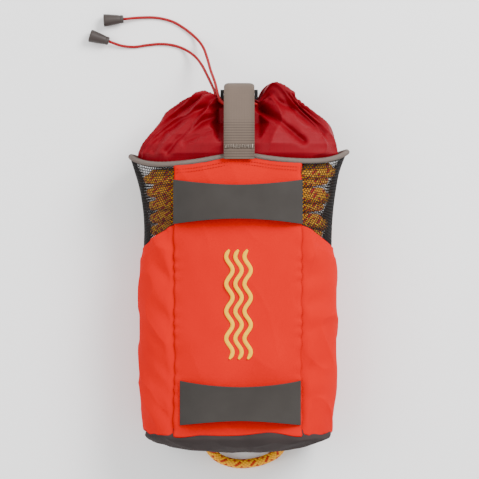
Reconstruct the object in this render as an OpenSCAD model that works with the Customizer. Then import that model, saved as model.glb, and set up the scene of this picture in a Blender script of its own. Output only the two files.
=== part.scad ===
// Throw rope bag lying on its back: +X to the right, +Y towards the mouth, +Z up from the floor.
// The origin is on the floor under the middle of the bag.

/* [Bag body] */
// Half width of the bag where the side panels are widest
body_half_w = 79; // [70:0.5:84]
// Half width of the bag at its rim
rim_half_w = 90.7; // [86:0.1:94]
// Half depth of the stuffed bag, back panel to front panel
body_half_d = 45; // [42:0.5:46]
// Roundness of the cross-section: 2 is an ellipse, higher is boxier
roundness = 2.5; // [2.2:0.1:2.8]
// How far the back is pressed flat on the floor
floor_press = 3.5; // [2:0.5:5]
// Height of the seam between the panels and the base
base_seam_y = -137; // [-140:0.5:-134]
// How far the base bulges below that seam
base_bulge = 18; // [14:0.5:20]
// Lowest height of the rim, in front
rim_y = 88; // [86:0.5:89]
// How much higher the rim stands at the two sides
rim_lift = 8; // [4:0.5:8]
// Width of the front panel between its seams
front_w = 107; // [100:0.5:112]
// Thickness of the coated fabric panels
wall_t = 1.2; // [1:0.1:1.6]
// Diameter of the rim piping
piping_d = 4.4; // [3.6:0.2:4.8]

/* [Mesh windows] */
// Height of a window's lower corners
window_corner_y = 37; // [34:0.5:40]
// How far a window's lower edge dips at the side of the bag
window_dip = 20; // [12:0.5:22]

/* [Grab bands] */
// Half length of the upper band
upper_band_half = 53.5; // [50:0.5:56]
// Half length of the lower band
lower_band_half = 50; // [46:0.5:52]
// Height of a band at its sewn ends
band_end_h = 37; // [34:0.5:40]
// Height of a band at its middle
band_mid_h = 28; // [24:0.5:30]
// Gap behind the middle of a band, for a waist belt
band_gap = 8; // [7.5:0.5:9]
// Thickness of the rubberised band
band_t = 1.6; // [1.2:0.1:2]

/* [Ropes and cords] */
// Diameter of the floating throw rope
rope_d = 8; // [7.6:0.2:8.2]
// Diameter of the drawcord
cord_d = 2.5; // [2.2:0.1:2.6]
// Radius of the gathered mouth, at the middle of its hem
mouth_r = 12; // [11.5:0.1:12.4]

/* [Closure strap and buckle] */
// Width of the webbing
strap_w = 25.4; // [24:0.1:25.6]
// Thickness of the webbing
strap_t = 1.8; // [1.6:0.1:1.8]
// Width of the side-release buckle
buckle_w = 34; // [33:0.5:36]
// Thickness of the buckle
buckle_t = 9.6; // [9:0.1:9.8]

/* [Hidden] */

ORANGE = [0.89, 0.27, 0.20];
MESH_BLACK = [0.10, 0.09, 0.09];
BAND_GREY = [0.33, 0.31, 0.29];
BASE_GREY = [0.31, 0.27, 0.27];
STRAP_GREY = [0.53, 0.46, 0.42];
PIPING_GREY = [0.60, 0.57, 0.55];
COLLAR_RED = [0.68, 0.05, 0.12];
CORD_RED = [0.72, 0.03, 0.10];
ROPE_YELLOW = [0.94, 0.69, 0.08];
BLACK = [0.09, 0.09, 0.10];
STEEL = [0.75, 0.75, 0.77];

// Sides of the bag, in the order the cross-section runs round it
RIGHT = 0;
FRONT = 1;
LEFT = 2;
BACK = 3;

strap_x = 1;
piping_r = piping_d / 2;
band_ends = 0.3;
upper_band_y = 55.5;
lower_band_y = -110.5;
lower_band_x = 2;

// Hem of the mouth, and the cord lock in front of it
mouth_y = 136;
mouth_z = 48;
hem_r = 3.2;
hem_bore_r = 1.8;
lock_x = 2;
lock_z = 69.5;
lock_r = 5.5;
lock_y0 = 127;
lock_y1 = 143;
lock_cord_y = 137;
lock_wall = 1.5;
plunger_r = 3.7;
plunger_gap = 0.3;
plunger_travel = 3;
cord_slot = [3.4, 6.2];

// Buckle, on the strap behind the mouth
buckle_z = 12;
buckle_y0 = 104;
buckle_y1 = 136;
buckle_top_y = 152;
cavity_w = 25;
cavity_t = 5.6;
plate_gap = 0.3;
prong_x = 10.5;
prong_w = 3;
prong_t = 5;
prong_root_y = 138;

// Base loop and its grommets
grommet_x = [-25, 38];
grommet_y = -150.5;
grommet_z = 16;
grommet_bore_r = rope_d / 2 + 0.4;

// Route of the base loop, from one grommet to the other
base_loop_route = [
    [-25, -143, 16], [-25, -151, 15.5], [-21, -158, 13], [-13, -164, 9], [0, -167.5, 5.5],
    [14, -166.5, 4.3], [25, -163, 6], [33, -158, 10], [37.5, -151, 14.5], [38, -143, 16]
];

// Routes of the two drawcord ends, from the hem through the lock, then down to the floor
upper_cord_route = [
    [14, 136, 53], [15.5, 137, 60], [14, 137, 66.5], [9, 137, 70.7], [5, 137, 70.8], [-4, 137, 70.8],
    [-8, 137, 70.8], [-11.5, 137.2, 70.7], [-16, 143, 66], [-19, 155, 54], [-23, 167, 38],
    [-26, 178, 23],
    [-30, 189, 10], [-37, 198, 2.6], [-47, 206, 1.3], [-57, 211.5, 1.3], [-70, 214.5, 1.3],
    [-84, 214.5, 2.6], [-98, 213, 5.6]
];
lower_cord_route = [
    [11, 136, 55], [12.5, 137, 60], [11.5, 137, 65], [8, 137, 68], [5, 137, 68.2], [-4, 137, 68.2],
    [-8, 137, 68.2], [-11.5, 137.2, 68], [-17, 142, 62.5], [-21, 152, 51], [-26, 163, 36],
    [-31, 173, 21],
    [-37, 181, 9], [-46, 187.5, 2.2], [-56, 191, 1.3], [-67, 192, 1.3], [-78, 191, 1.3],
    [-89, 189.5, 1.3], [-100, 190.5, 2.8], [-110.5, 194, 5.6]
];

// Side view of the closure strap, as [y, z]: over the mouth, down behind it, round the buckle's bar
closure_strap_line = [
    [90.7, 88.6], [97, 89.4], [104, 89.8], [112, 89.2], [121, 87.4], [130, 84.8], [139, 81.8],
    [146, 78.6], [151, 73.5], [153.6, 66], [154.1, 54], [154.1, 40], [153.8, 28], [153.4, 16],
    [153.3, 9.4], [152, 6.4], [149.8, 6.2], [148.1, 8], [148.1, 14], [148.1, 20]
];
rear_strap_line = [
    [92, 1.2], [97, 2.2], [102, 4.4], [106, 5.6], [108.2, 8], [108.2, 16.4], [106, 18.2], [100, 17.8]
];

// Outer surface of the collar, as rings of [y, half width, lowest z, highest z]
collar_rings = [
    [90, 83, 7, 81], [97, 85.5, 20, 86], [104, 84, 23, 86], [111, 79, 25, 82], [118, 75, 27, 74],
    [124, 70, 30, 64], [131, 62, 32, 62], [138, 52, 33, 62], [144, 40, 33.5, 62],
    [146, 28, 34, 62], [143.5, 18, 34.5, 61.5], [139, 13.4, 34.6, 61.4]
];
collar_t = 1.2;

// ---------- Functions ----------

function lerp(a, b, t) = a + (b - a) * t;
function unit(v) = v / norm(v);
function signed_pow(v, p) = sign(v) * pow(abs(v), p);

// Half width, half depth and middle height of the bag at height y
function half_w(y) = y < 20
    ? lerp(body_half_w - 1.5, body_half_w, (y - base_seam_y) / (20 - base_seam_y))
    : body_half_w + (rim_half_w - body_half_w) * pow((y - 20) / 75, 2.5);
function half_d(y) = body_half_d - (y < 60 ? 0 : 1.5 * (y - 60) / 36);
function mid_z(y) = half_d(y) - floor_press;

// Point on a rounded cross-section, at an angle from +X
function oval(angle, a, b) = [
    a * signed_pow(cos(angle), 2 / roundness),
    b * signed_pow(sin(angle), 2 / roundness)
];

// Point on the bag's wall, set in by depth, and never under the floor
function wall(angle, y, depth) =
    let (p = oval(angle, half_w(y) - depth, half_d(y) - depth))
    [p[0], y, max(p[1] + mid_z(y), depth)];

// Height of the front panel's outer face
function front_z(x, y) =
    mid_z(y) + half_d(y) * pow(1 - pow(abs(x) / half_w(y), roundness), 1 / roundness);

// Angle of the seam between the front panel and the right side
function seam_angle(y) = acos(pow(front_w / 2 / half_w(y), roundness / 2));

// Angle at s, from 0 to 1 across one side of the bag
function side_angle(side, y, s) =
    let (q = seam_angle(y))
    side * 90 + (side % 2 == 0 ? lerp(-q, q, s) : lerp(q - 90, 90 - q, s));

function rim_height(angle) = rim_y + rim_lift * pow(abs(cos(angle)), 6);
function window_height(s) = window_corner_y - window_dip * sin(180 * s);

// Catmull-Rom curve through a route's points, in steps per span
function route_point(p, i, t) =
    let (
        last = len(p) - 1,
        a = p[max(i - 1, 0)],
        b = p[i],
        c = p[min(i + 1, last)],
        d = p[min(i + 2, last)]
    )
    0.5 * (2 * b + (c - a) * t + (2 * a - 5 * b + 4 * c - d) * t * t
        + (3 * b - a - 3 * c + d) * t * t * t);
function smooth_route(p, steps) = concat(
    [for (i = [0 : len(p) - 2], j = [0 : steps - 1]) route_point(p, i, j / steps)],
    [p[len(p) - 1]]
);

// Circles along a path, square to it; ref is a direction the path never takes
function tube_rings(path, r, ref, sides) = [
    for (i = [0 : len(path) - 1])
        let (
            t = unit(path[min(i + 1, len(path) - 1)] - path[max(i - 1, 0)]),
            u = unit(cross(ref, t)),
            w = cross(t, u)
        )
        [for (k = [0 : sides - 1]) path[i] + r * (cos(360 * k / sides) * u + sin(360 * k / sides) * w)]
];

// Outline of a strip of thickness t along a line of 2D points
function strip_outline(line, t) =
    let (
        last = len(line) - 1,
        normals = [
            for (i = [0 : last])
                let (d = unit(line[min(i + 1, last)] - line[max(i - 1, 0)])) [-d[1], d[0]]
        ]
    )
    concat(
        [for (i = [0 : last]) line[i] + normals[i] * t / 2],
        [for (i = [last : -1 : 0]) line[i] - normals[i] * t / 2]
    );

// ---------- Shapes from rings ----------

// Triangles between two neighbouring rings of n points
function band_faces(i, next, n) = [
    for (k = [0 : n - 1])
        let (m = (k + 1) % n)
        each [[i * n + k, next * n + m, i * n + m], [i * n + k, next * n + k, next * n + m]]
];
// Triangles across a ring whose second half runs back along its first half
function strip_cap(start, n) = [
    for (k = [0 : n / 2 - 2])
        each [[start + k, start + k + 1, start + n - 2 - k], [start + k, start + n - 2 - k, start + n - 1 - k]]
];
function flipped(faces) = [for (f = faces) [for (k = [len(f) - 1 : -1 : 0]) f[k]]];

// Solid through rings; ends is "flat", "strip" for a folded ring, or "joined" for a closed loop
module ring_solid(rings, ends = "flat") {
    n = len(rings[0]);
    last = len(rings) - 1;
    sides = [for (i = [0 : last - 1]) each band_faces(i, i + 1, n)];
    bottom = ends == "strip" ? strip_cap(0, n) : [[for (k = [0 : n - 1]) k]];
    top = ends == "strip" ? flipped(strip_cap(last * n, n)) : [[for (k = [n - 1 : -1 : 0]) last * n + k]];
    caps = ends == "joined" ? band_faces(last, 0, n) : concat(bottom, top);
    polyhedron([for (r = rings) each r], concat(sides, caps), convexity = 6);
}

// Panel of the bag's wall on one side, between two heights that may vary across it
module wall_panel(side, low, high, t, across = 14, along = 12) {
    rings = [
        for (j = [0 : along])
            let (ys = [for (i = [0 : across]) lerp(low[i], high[i], j / along)])
            concat(
                [for (i = [0 : across]) wall(side_angle(side, ys[i], i / across), ys[i], 0)],
                [for (i = [across : -1 : 0]) wall(side_angle(side, ys[i], i / across), ys[i], t)]
            )
    ];
    ring_solid(rings, "strip");
}

function level(y, across = 14) = [for (i = [0 : across]) y];
function rim_line(side, across = 14) = [
    for (i = [0 : across]) rim_height(side_angle(side, rim_y, i / across))
];
function window_line(across = 14) = [for (i = [0 : across]) window_height(i / across)];

// Block between two heights, filling the bag's cross-section less an inset
module inner_block(y0, y1, inset) {
    outline = [for (k = [0 : 47]) let (p = wall(k * 7.5, y0, inset)) [p[0], p[2]]];
    translate([0, y1, 0]) rotate([90, 0, 0]) linear_extrude(y1 - y0) polygon(outline);
}

// Ring of round section about the Y axis
module ring_y(at, ring_r, r, bore_r = 0) {
    translate(at) rotate([90, 0, 0]) rotate_extrude($fn = 48) translate([ring_r, 0]) difference() {
        circle(r, $fn = 24);
        if (bore_r > 0) circle(bore_r, $fn = 24);
    }
}

module box_at(x, y, z) {
    translate([x[0], y[0], z[0]]) cube([x[1] - x[0], y[1] - y[0], z[1] - z[0]]);
}

// Cylinder along +Y from height y0 to y1
module rod_y(x, z, r, y0, y1) {
    translate([x, y1, z]) rotate([90, 0, 0]) cylinder(r = r, h = y1 - y0, $fn = 48);
}

// ---------- Bag body ----------

module front_panel() {
    color(ORANGE) wall_panel(FRONT, level(base_seam_y), rim_line(FRONT), wall_t, along = 20);
}

module back_panel() {
    color(ORANGE) wall_panel(BACK, level(base_seam_y), rim_line(BACK), wall_t, along = 20);
}

module left_side_panel() {
    color(ORANGE) wall_panel(LEFT, level(base_seam_y), window_line(), wall_t);
}

module right_side_panel() {
    color(ORANGE) wall_panel(RIGHT, level(base_seam_y), window_line(), wall_t);
}

module left_mesh_window() {
    color(MESH_BLACK) wall_panel(LEFT, window_line(), rim_line(LEFT), wall_t);
}

module right_mesh_window() {
    color(MESH_BLACK) wall_panel(RIGHT, window_line(), rim_line(RIGHT), wall_t);
}

// Domed cup that closes the lower end, its inside running first
module base_panel() {
    steps = 8;
    smallest = 86;
    function dome(t, depth) =
        let (shrink = cos(t), drop = (base_bulge - depth) * sin(t))
        [
            for (k = [0 : 47])
                let (p = wall(-k * 7.5, base_seam_y, depth), z = mid_z(base_seam_y))
                [p[0] * shrink, base_seam_y - drop, z + (p[2] - z) * shrink]
        ];
    inside = [for (i = [steps : -1 : 0]) dome(smallest * i / steps, 2)];
    outside = [for (i = [0 : steps]) dome(smallest * i / steps, 0)];
    color(BASE_GREY) ring_solid(concat(inside, outside));
}

// Two eyelets that the base loop runs through
module base_grommets() {
    color(BLACK) for (x = grommet_x)
        translate([x, grommet_y, grommet_z]) rotate([90, 0, 0]) difference() {
            union() {
                translate([0, 0, -7]) cylinder(r = grommet_bore_r + 1, h = 9, $fn = 48);
                translate([0, 0, 1]) cylinder(r = grommet_bore_r + 3.6, h = 1.4, $fn = 48);
            }
            translate([0, 0, -8]) cylinder(r = grommet_bore_r, h = 12, $fn = 48);
        }
}

module rim_piping() {
    steps = 72;
    path = [
        for (k = [0 : steps - 1])
            let (angle = 360 * k / steps, y = rim_height(angle)) wall(angle, y, piping_r)
    ];
    rings = [
        for (k = [0 : steps - 1])
            let (
                t = unit(path[(k + 1) % steps] - path[(k + steps - 1) % steps]),
                u = unit(cross([0, 1, 0], t)),
                w = cross(t, u)
            )
            [for (a = [0 : 36 : 324]) path[k] + piping_r * (cos(a) * u + sin(a) * w)]
    ];
    color(PIPING_GREY) ring_solid(rings, "joined");
}

// Bow-tie band, sewn down at its ends and standing off the panel in its middle
module grab_band(mid_x, mid_y, half_len) {
    across = 24;
    along = 4;
    function half_h(s) = lerp(band_mid_h, band_end_h, s * s) / 2;
    function lift(s) = band_ends + band_gap * (1 - pow(abs(s), 4));
    rings = [
        for (j = [0 : along])
            let (
                pts = [
                    for (i = [0 : across])
                        let (
                            s = lerp(-1, 1, i / across),
                            x = mid_x + s * half_len,
                            y = mid_y + half_h(s) * lerp(-1, 1, j / along)
                        )
                        [x, y, front_z(x, y) + lift(s)]
                ]
            )
            concat(
                [for (i = [across : -1 : 0]) pts[i] + [0, 0, band_t]],
                [for (i = [0 : across]) pts[i]]
            )
    ];
    color(BAND_GREY) ring_solid(rings, "strip");
}

module upper_grab_band() {
    grab_band(0, upper_band_y, upper_band_half);
}

module lower_grab_band() {
    grab_band(lower_band_x, lower_band_y, lower_band_half);
}

// Three raised wave lines down the middle of the front panel
module embroidered_waves() {
    steps = 36;
    top_y = 16;
    bottom_y = -74;
    line_w = 3;
    color(ROPE_YELLOW) for (offset = [-7.5, 0, 7.5]) {
        rings = [
            for (i = [0 : steps])
                let (
                    y = lerp(bottom_y, top_y, i / steps),
                    x = 0.5 + offset + 2.6 * sin(i * 1440 / steps)
                )
                [
                    for (c = [[line_w / 2, 0.8], [-line_w / 2, 0.8], [-line_w / 2, 0], [line_w / 2, 0]])
                        [x + c[0], y, front_z(x + c[0], y) + 0.05 + c[1]]
                ]
        ];
        ring_solid(rings, "strip");
    }
}

// ---------- Inside the bag ----------

module foam_float() {
    color(STEEL) inner_block(-120, -106, 4);
}

// Outer shape of the stuffed rope
module throw_rope() {
    function fill(y, inset) = [for (k = [0 : 35]) wall(k * 10, y, inset)];
    rings = [
        fill(-104, 10), fill(-100, 5), for (y = [-80 : 20 : 60]) fill(y, 4),
        fill(78, 6), fill(84, 14)
    ];
    color(ROPE_YELLOW) ring_solid(rings);
}

// Stopper knots that hold both legs of the base loop
module rope_base_knots() {
    color(ROPE_YELLOW) for (x = grommet_x) {
        translate([x, -136, grommet_z]) rotate([90, 0, 0]) rotate_extrude($fn = 48) union() {
            square([5, 12], center = false);
            for (z = [4, 9]) translate([5, z]) circle(4, $fn = 24);
        }
    }
}

// Hand loop on the free end of the rope, under the collar
module rope_hand_loop() {
    color(ROPE_YELLOW) ring_y([0, 92, 46], 22, rope_d / 2);
}

module base_rope_loop() {
    color(ROPE_YELLOW)
        ring_solid(tube_rings(smooth_route(base_loop_route, 2), rope_d / 2, [0, 0, 1], 12));
}

// ---------- Collar and drawcord ----------

// Gathered fabric dome: outer skin up to the mouth, inner skin back down
module collar() {
    last = len(collar_rings) - 1;
    function skin(i, depth) =
        let (
            r = collar_rings[i],
            d = collar_rings[min(i + 1, last)] - collar_rings[max(i - 1, 0)],
            n = unit([d[0], -d[1]]) * depth,
            b = (r[3] - r[2]) / 2 - n[0],
            mid = (r[3] + r[2]) / 2
        )
        [for (k = [0 : 35]) let (p = oval(k * 10, r[1] - n[0], b)) [p[0], r[0] - n[1], mid + p[1]]];
    outer = [for (i = [0 : last]) skin(i, 0)];
    inner = [for (i = [last : -1 : 0]) skin(i, collar_t)];
    color(COLLAR_RED) ring_solid(concat(outer, inner), "joined");
}

module collar_hem() {
    color(COLLAR_RED) ring_y([0, mouth_y, mouth_z], mouth_r, hem_r, hem_bore_r);
}

module hem_drawcord() {
    color(CORD_RED) ring_y([0, mouth_y, mouth_z], mouth_r, cord_d / 2);
}

module drawcord(route) {
    color(CORD_RED) ring_solid(tube_rings(smooth_route(route, 2), cord_d / 2, [0, 1, 0], 8));
}

module drawcord_upper() {
    drawcord(upper_cord_route);
}

module drawcord_lower() {
    drawcord(lower_cord_route);
}

// Bell-shaped cord end, its narrow end at the cord
module cord_end(at, angle) {
    color(BASE_GREY) translate([at[0], at[1], at[2]]) rotate([0, 0, angle]) rotate([0, 90, 0])
        rotate_extrude($fn = 48)
            polygon([[0, 0], [3.1, 0], [3.5, 0.5], [4.1, 5], [5.1, 12], [5.5, 15.5], [5, 17], [0, 17]]);
}

module upper_cord_end() {
    cord_end(upper_cord_route[len(upper_cord_route) - 1], 184);
}

module lower_cord_end() {
    cord_end(lower_cord_route[len(lower_cord_route) - 1], 163);
}

// ---------- Cord lock ----------

module cord_lock_body() {
    color(BLACK) difference() {
        rod_y(lock_x, lock_z, lock_r, lock_y0, lock_y1);
        rod_y(lock_x, lock_z, plunger_r + plunger_gap, lock_y0 + lock_wall, lock_y1 + 1);
        translate([lock_x, lock_cord_y, lock_z])
            cube([4 * lock_r, cord_slot[0], cord_slot[1]], center = true);
    }
}

module cord_lock_plunger() {
    head_y = lock_y1 + plunger_travel + 0.4;
    slot_len = cord_slot[0] + plunger_travel;
    color(BLACK) difference() {
        union() {
            rod_y(lock_x, lock_z, plunger_r, lock_y0 + lock_wall + plunger_travel + 0.5, head_y);
            rod_y(lock_x, lock_z, plunger_r + 0.5, head_y, head_y + 2);
        }
        translate([lock_x, lock_cord_y + plunger_travel / 2, lock_z])
            cube([4 * lock_r, slot_len, cord_slot[1]], center = true);
        rod_y(lock_x, lock_z, 2.6, lock_y0 + lock_wall, lock_y0 + lock_wall + plunger_travel + 3.2);
    }
}

// Coils of the return spring, drawn at the length it is pressed to
module cord_lock_spring() {
    color(STEEL) for (i = [0 : 3])
        ring_y([lock_x, lock_y0 + lock_wall + 0.45 + i * 0.7, lock_z], 1.8, 0.3);
}

// ---------- Strap and buckle ----------

module strap_along(line) {
    color(STRAP_GREY) translate([strap_x - strap_w / 2, 0, 0]) rotate([90, 0, 90])
        linear_extrude(strap_w) polygon(strip_outline(line, strap_t));
}

module closure_strap() {
    strap_along(closure_strap_line);
}

module rear_strap() {
    strap_along(rear_strap_line);
}

// Hollow half, with side windows that run out to its mouth and a bar for the rear strap
module buckle_female() {
    slot_w = strap_w + 1;
    color(BLACK) difference() {
        box_at([strap_x - buckle_w / 2, strap_x + buckle_w / 2], [buckle_y0, buckle_y1],
            [buckle_z - buckle_t / 2, buckle_z + buckle_t / 2]);
        box_at([strap_x - cavity_w / 2, strap_x + cavity_w / 2], [buckle_y0 + 11, buckle_y1 + 1],
            [buckle_z - cavity_t / 2, buckle_z + cavity_t / 2]);
        box_at([strap_x - buckle_w, strap_x + buckle_w], [buckle_y0 + 15, buckle_y1 + 1],
            [buckle_z - cavity_t / 2, buckle_z + cavity_t / 2]);
        box_at([strap_x - slot_w / 2, strap_x + slot_w / 2], [buckle_y0 + 3, buckle_y0 + 5.6],
            [0, 2 * buckle_z]);
    }
}

// Plug half: a barred frame for the closure strap and a guide tongue
module buckle_male() {
    slot_w = strap_w + 1;
    y0 = buckle_y1 + plate_gap;
    color(BLACK) difference() {
        union() {
            box_at([strap_x - 16, strap_x + 16], [y0, buckle_top_y], [buckle_z - 4, buckle_z + 4]);
            box_at([strap_x - 4, strap_x + 4], [y0 - 18, y0 + 1], [buckle_z - 2, buckle_z + 2]);
        }
        box_at([strap_x - slot_w / 2, strap_x + slot_w / 2], [146.9, 149.3], [0, 2 * buckle_z]);
        for (side = [-1, 1])
            translate([strap_x + side * prong_x, y0 + 1.5, buckle_z])
                cube([prong_w + 1.8, 6, cavity_t], center = true);
    }
}

// Sprung arm with its thumb pad, on the side given by -1 or 1
module prong(side) {
    color(BLACK) translate([strap_x, 0, buckle_z - prong_t / 2]) mirror([side < 0 ? 1 : 0, 0, 0]) {
        box_at([prong_x - prong_w / 2, prong_x + prong_w / 2], [121, prong_root_y], [0, prong_t]);
        translate([prong_x, prong_root_y, 0]) cylinder(r = prong_w / 2, h = prong_t, $fn = 48);
        intersection() {
            translate([prong_x + 1.5, 128, 0]) cylinder(r = 7, h = prong_t, $fn = 48);
            box_at([prong_x, prong_x + 9], [120, 138], [0, prong_t]);
        }
    }
}

module left_prong() {
    prong(-1);
}

module right_prong() {
    prong(1);
}

front_panel();
back_panel();
left_side_panel();
right_side_panel();
left_mesh_window();
right_mesh_window();
base_panel();
base_grommets();
rim_piping();
upper_grab_band();
lower_grab_band();
embroidered_waves();
foam_float();
throw_rope();
rope_base_knots();
rope_hand_loop();
base_rope_loop();
collar();
collar_hem();
hem_drawcord();
drawcord_upper();
drawcord_lower();
upper_cord_end();
lower_cord_end();
cord_lock_body();
cord_lock_plunger();
cord_lock_spring();
closure_strap();
rear_strap();
buckle_female();
buckle_male();
left_prong();
right_prong();
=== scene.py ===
"""Looks of a throw rope bag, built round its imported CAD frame: metres, +Z up, mouth towards +Y."""
import math
import random

import bpy
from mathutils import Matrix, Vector, noise


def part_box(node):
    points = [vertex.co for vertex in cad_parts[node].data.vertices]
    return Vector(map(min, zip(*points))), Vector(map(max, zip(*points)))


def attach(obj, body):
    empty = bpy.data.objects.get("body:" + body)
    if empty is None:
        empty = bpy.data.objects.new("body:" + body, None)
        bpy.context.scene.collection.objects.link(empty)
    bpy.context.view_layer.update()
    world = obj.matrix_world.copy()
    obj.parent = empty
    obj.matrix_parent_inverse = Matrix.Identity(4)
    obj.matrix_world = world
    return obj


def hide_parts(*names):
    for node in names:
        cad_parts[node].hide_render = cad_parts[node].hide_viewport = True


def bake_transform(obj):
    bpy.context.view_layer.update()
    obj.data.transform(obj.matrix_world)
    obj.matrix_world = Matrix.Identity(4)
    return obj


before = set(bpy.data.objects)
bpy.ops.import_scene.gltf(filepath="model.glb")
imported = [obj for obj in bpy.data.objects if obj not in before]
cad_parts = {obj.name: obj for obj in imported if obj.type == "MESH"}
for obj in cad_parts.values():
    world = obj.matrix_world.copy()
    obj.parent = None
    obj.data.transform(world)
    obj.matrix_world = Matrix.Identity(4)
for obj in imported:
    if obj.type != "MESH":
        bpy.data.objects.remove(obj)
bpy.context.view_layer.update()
MM = 0.001
random.seed(7)

# ---------- Sizes, read from the frame ----------

FRONT_LOW, FRONT_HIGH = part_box("front_panel")
SIDE_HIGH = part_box("right_side_panel")[1]
PIPING_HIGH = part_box("rim_piping")[1]
BASE_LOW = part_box("base_panel")[0]
HEM_LOW, HEM_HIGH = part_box("collar_hem")
STRAP_LOW, STRAP_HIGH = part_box("closure_strap")
LOCK_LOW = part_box("cord_lock_body")[0]

# Roundness of the cross-section: 2 is an ellipse, higher is boxier
ROUNDNESS = 2.5
FLOOR_PRESS = 3.5 * MM
BASE_SEAM_Y = FRONT_LOW[1]
BASE_TIP_Y = BASE_LOW[1]
BODY_HALF_W = SIDE_HIGH[0]
RIM_HALF_W = PIPING_HIGH[0]
BODY_HALF_D = (FRONT_HIGH[2] + FLOOR_PRESS) / 2
FRONT_HALF = FRONT_HIGH[0]
# The wall starts to flare here, and reaches the rim's width FLARE_LENGTH further on
WAIST_Y = 20 * MM
FLARE_LENGTH = 75 * MM
RIM_Y = 88 * MM
# Rough way round one side panel and along it, for effects near its edges
SIDE_GIRTH = 110 * MM
SIDE_LENGTH = 150 * MM
WINDOW_CORNER_Y = 37 * MM
WINDOW_DIP = 20 * MM
STRAP_X = (STRAP_LOW[0] + STRAP_HIGH[0]) / 2
STRAP_W = STRAP_HIGH[0] - STRAP_LOW[0]
STRAP_T = 1.8 * MM
RIB_PITCH = 2.15 * MM
PIPING_R = 2.2 * MM
BAND_T = 1.5 * MM
BAND_GAP = 8 * MM
ROPE_R = 4 * MM
ROPE_PITCH = 3.4 * MM
CORD_R = 1.25 * MM
CORD_PITCH = 1.1 * MM
MOUTH = Vector(((HEM_LOW[0] + HEM_HIGH[0]) / 2, (HEM_LOW[1] + HEM_HIGH[1]) / 2,
                (HEM_LOW[2] + HEM_HIGH[2]) / 2))
MOUTH_R = 12 * MM

# Sides of the bag, in the order its cross-section runs round it from +X
RIGHT, FRONT, LEFT, BACK = range(4)

# Routes of the cords, as in the CAD model, in metres
BASE_LOOP_ROUTE = [
    (-.025, -.143, .016), (-.025, -.151, .0155), (-.021, -.158, .013), (-.013, -.164, .009),
    (0, -.1675, .0055), (.014, -.1665, .0043), (.025, -.163, .006), (.033, -.158, .010),
    (.0375, -.151, .0145), (.038, -.143, .016)]
UPPER_CORD_ROUTE = [
    (.014, .136, .053), (.0155, .137, .060), (.014, .137, .0665), (.009, .137, .0707),
    (.005, .137, .0708), (-.004, .137, .0708), (-.008, .137, .0708), (-.0115, .1372, .0707),
    (-.016, .143, .066), (-.019, .155, .054), (-.023, .167, .038), (-.026, .178, .023),
    (-.030, .189, .010), (-.037, .198, .0026), (-.047, .206, .0013), (-.057, .2115, .0013),
    (-.070, .2145, .0013), (-.084, .2145, .0026), (-.098, .213, .0056)]
LOWER_CORD_ROUTE = [
    (.011, .136, .055), (.0125, .137, .060), (.0115, .137, .065), (.008, .137, .068),
    (.005, .137, .0682), (-.004, .137, .0682), (-.008, .137, .0682), (-.0115, .1372, .068),
    (-.017, .142, .0625), (-.021, .152, .051), (-.026, .163, .036), (-.031, .173, .021),
    (-.037, .181, .009), (-.046, .1875, .0022), (-.056, .191, .0013), (-.067, .192, .0013),
    (-.078, .191, .0013), (-.089, .1895, .0013), (-.100, .1905, .0028), (-.1105, .194, .0056)]
# Side view of the closure strap, as (y, z), as in the CAD model
STRAP_LINE = [
    (.0907, .0886), (.097, .0894), (.104, .0898), (.112, .0892), (.121, .0874), (.130, .0848),
    (.139, .0818), (.146, .0786), (.151, .0735), (.1536, .066), (.1541, .054), (.1541, .040),
    (.1538, .028), (.1534, .016), (.1533, .0094), (.152, .0064), (.1498, .0062), (.1481, .008),
    (.1481, .014), (.1481, .020)]
REAR_STRAP_LINE = [
    (.092, .0012), (.097, .0022), (.102, .0044), (.106, .0056), (.1082, .008), (.1082, .0164),
    (.106, .0182), (.100, .0178)]


# ---------- Camera, floor and lights ----------

def make_camera():
    """Looks straight down on the bag from far off, with a long lens."""
    centre = Vector((1.3 * MM, 24.4 * MM, 45 * MM))
    view_width = 402.36 * MM
    distance = 2.1
    data = bpy.data.cameras.new("camera")
    data.angle = 2 * math.atan(view_width / 2 / distance)
    camera = bpy.data.objects.new("camera", data)
    camera.location = centre + Vector((0, 0, distance))
    bpy.context.collection.objects.link(camera)
    bpy.context.scene.camera = camera


def make_light(name, at, size, power):
    """Square area light, aimed at the origin."""
    data = bpy.data.lights.new(name, "AREA")
    data.size = size
    data.energy = power
    light = bpy.data.objects.new(name, data)
    light.location = at
    light.rotation_euler = (-Vector(at)).to_track_quat("-Z", "Y").to_euler()
    bpy.context.collection.objects.link(light)


# ---------- Mesh helpers ----------

def lerp(a, b, t):
    """Value t of the way from a to b."""
    return a + (b - a) * t


def bell(x, width):
    """Smooth bump: 1 at x = 0, and near 0 two widths away."""
    return math.exp(-(x / width) ** 2)


def smooth(x):
    """Soft step from 0 at x = 0 to 1 at x = 1."""
    x = max(0.0, min(1.0, x))
    return x * x * (3 - 2 * x)


def add_mesh(name, verts, faces, uvs):
    """Makes a smooth-shaded mesh object; uvs holds one pair per face corner."""
    mesh = bpy.data.meshes.new(name)
    mesh.from_pydata([tuple(v) for v in verts], [], faces)
    layer = mesh.uv_layers.new(name="UVMap")
    for loop, uv in zip(layer.data, uvs):
        loop.uv = uv
    mesh.shade_smooth()
    piece = bpy.data.objects.new(name, mesh)
    bpy.context.collection.objects.link(piece)
    return piece


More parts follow.
